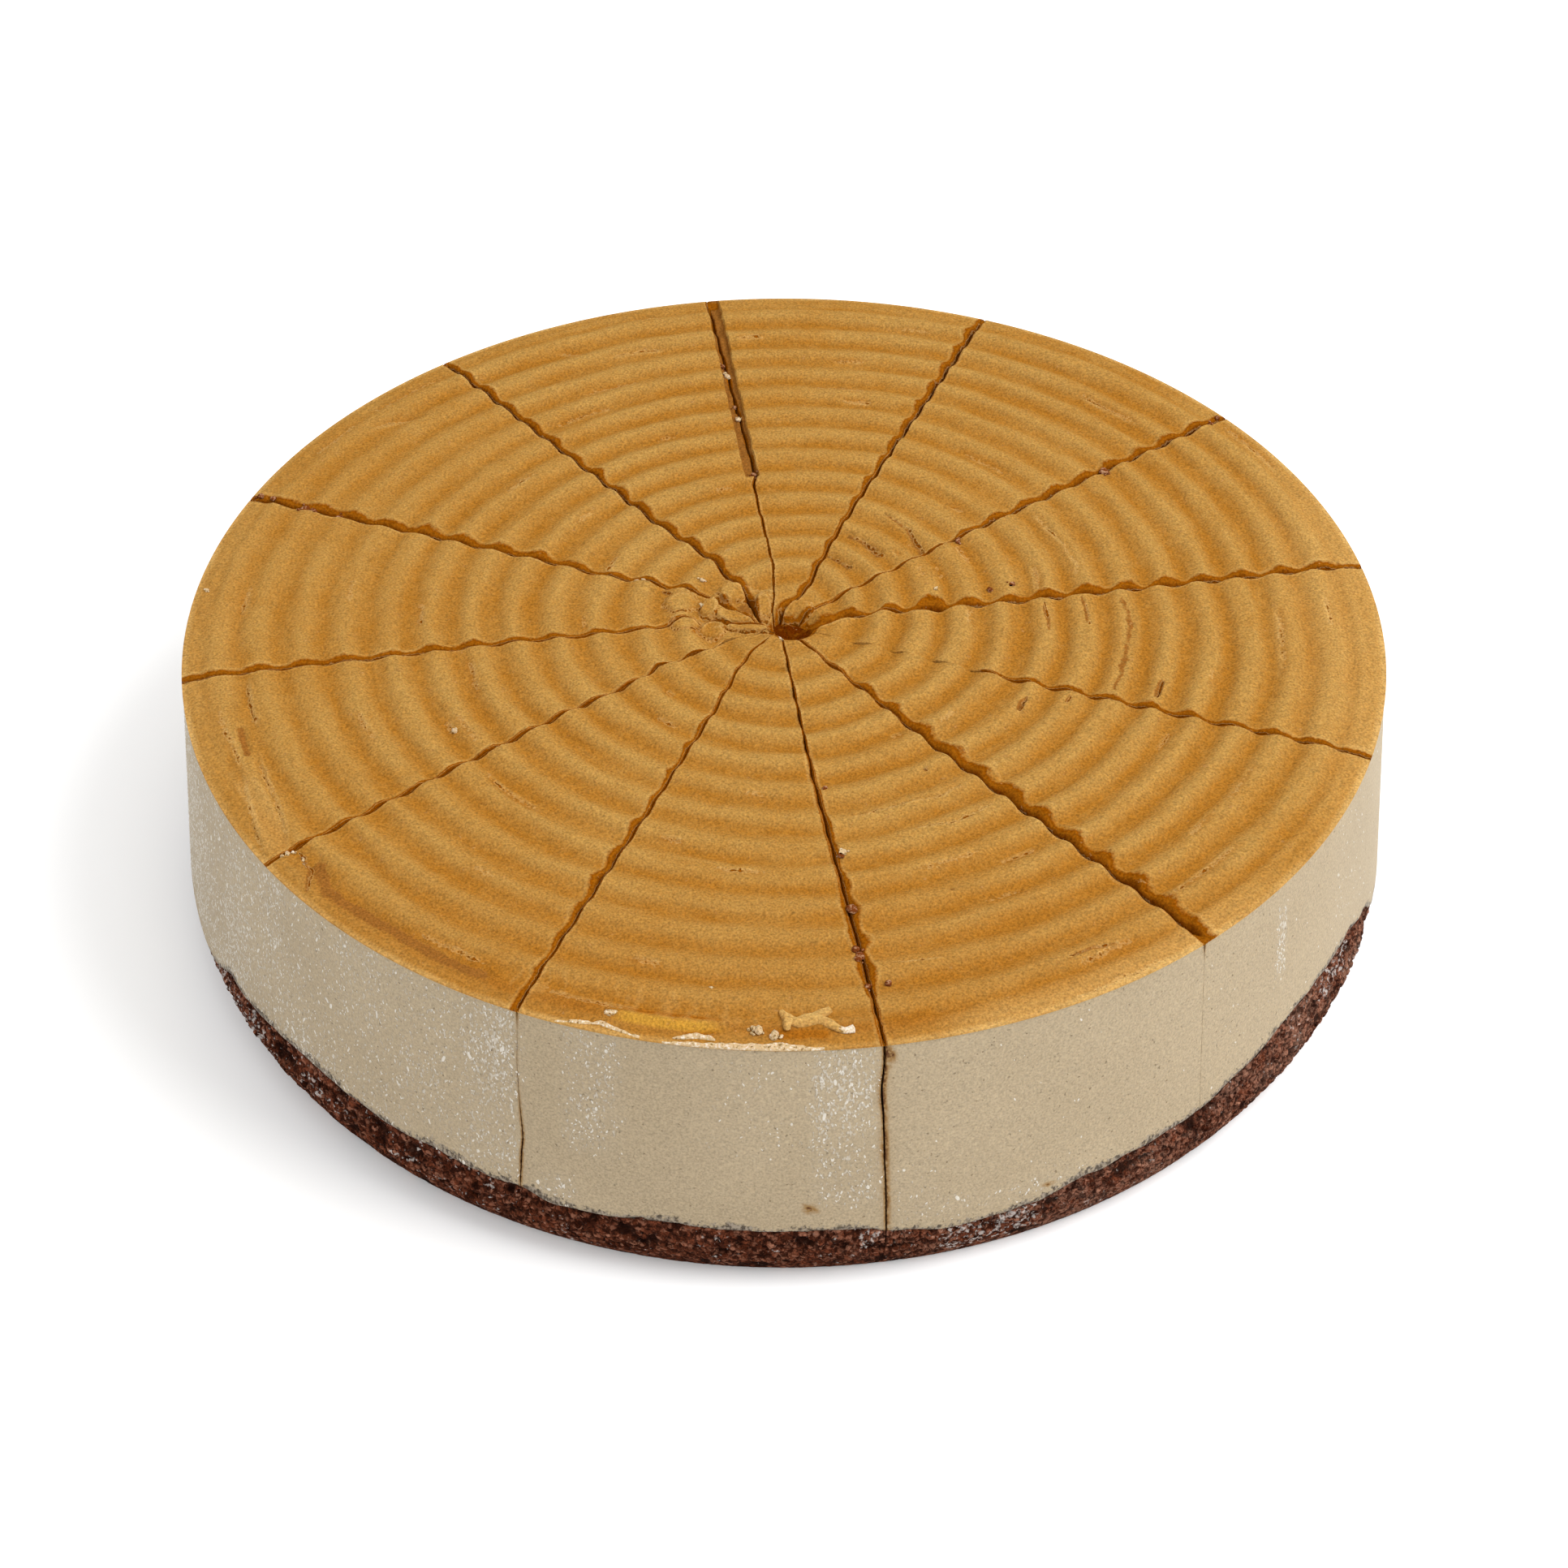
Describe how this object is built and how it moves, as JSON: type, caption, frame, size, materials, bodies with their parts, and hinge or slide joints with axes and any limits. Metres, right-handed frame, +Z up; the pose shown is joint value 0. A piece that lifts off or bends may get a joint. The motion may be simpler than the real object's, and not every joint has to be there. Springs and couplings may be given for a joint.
{
  "type": "mont blanc cake",
  "caption": "Round pre-cut chestnut cream cake: a chocolate sponge base, a thick pale mousse, and a combed chestnut cream top with ring ridges, cut through in wedge slices.",
  "frame": {"origin": "under the middle of the cake, on the surface it stands on", "axes": "+Z up; -Y towards the viewer of the picture, +X to the viewer's right"},
  "size_m": [0.2477, 0.2472, 0.0599],
  "materials": {
    "sponge": "dark crumbly chocolate sponge, matte",
    "mousse": "smooth beige mousse with fine pores and pale frost specks, soft sheen",
    "chestnut": "amber chestnut cream combed in rings, soft satin"
  },
  "bodies": {
    "root": {"sponge_01": "sponge", "sponge_02": "sponge", "sponge_03": "sponge", "sponge_04": "sponge", "sponge_05": "sponge", "sponge_06": "sponge", "sponge_07": "sponge", "sponge_08": "sponge", "sponge_09": "sponge", "sponge_10": "sponge", "sponge_11": "sponge", "sponge_12": "sponge", "mousse_01": "mousse", "mousse_02": "mousse", "mousse_03": "mousse", "mousse_04": "mousse", "mousse_05": "mousse", "mousse_06": "mousse", "mousse_07": "mousse", "mousse_08": "mousse", "mousse_09": "mousse", "mousse_10": "mousse", "mousse_11": "mousse", "mousse_12": "mousse", "chestnut_01": "chestnut", "chestnut_02": "chestnut", "chestnut_03": "chestnut", "chestnut_04": "chestnut", "chestnut_05": "chestnut", "chestnut_06": "chestnut", "chestnut_07": "chestnut", "chestnut_08": "chestnut", "chestnut_09": "chestnut", "chestnut_10": "chestnut", "chestnut_11": "chestnut", "chestnut_12": "chestnut"}
  },
  "joints": []
}
